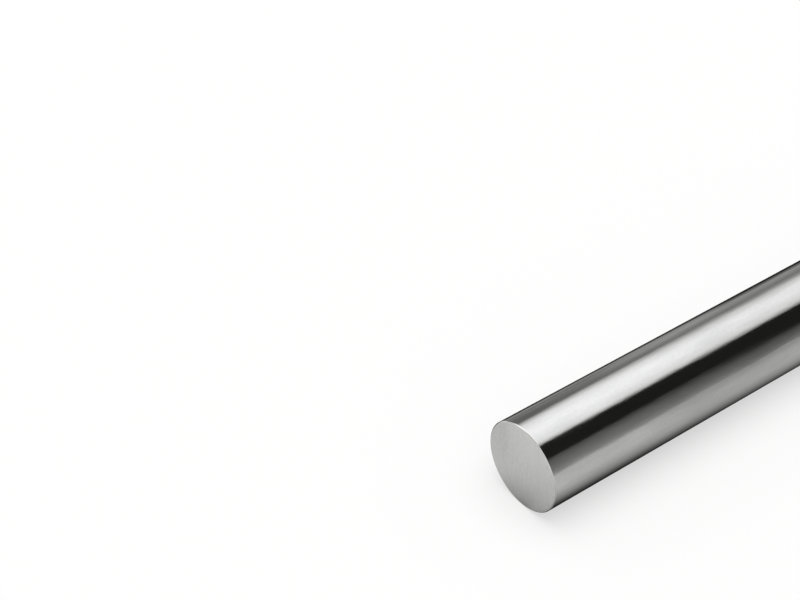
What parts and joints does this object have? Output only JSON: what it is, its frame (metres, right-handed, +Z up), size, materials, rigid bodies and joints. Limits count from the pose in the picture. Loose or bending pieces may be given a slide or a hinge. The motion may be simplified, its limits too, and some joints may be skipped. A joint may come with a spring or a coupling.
{
  "type": "stainless steel round bar",
  "caption": "Solid round bar of polished stainless steel, cut square at both ends with lightly chamfered edges, for machining into shafts, pins and fittings.",
  "frame": {"origin": "on the bar's axis, halfway between its two end faces", "axes": "+X along the bar's axis, +Z up as the bar lies on a level floor, +Y level and square to the bar"},
  "size_m": [1, 0.0498, 0.05],
  "materials": {
    "polished_stainless": "polished round the outside, fine matt cut on the end faces"
  },
  "bodies": {
    "root": {"round_bar": "polished_stainless"}
  },
  "joints": []
}
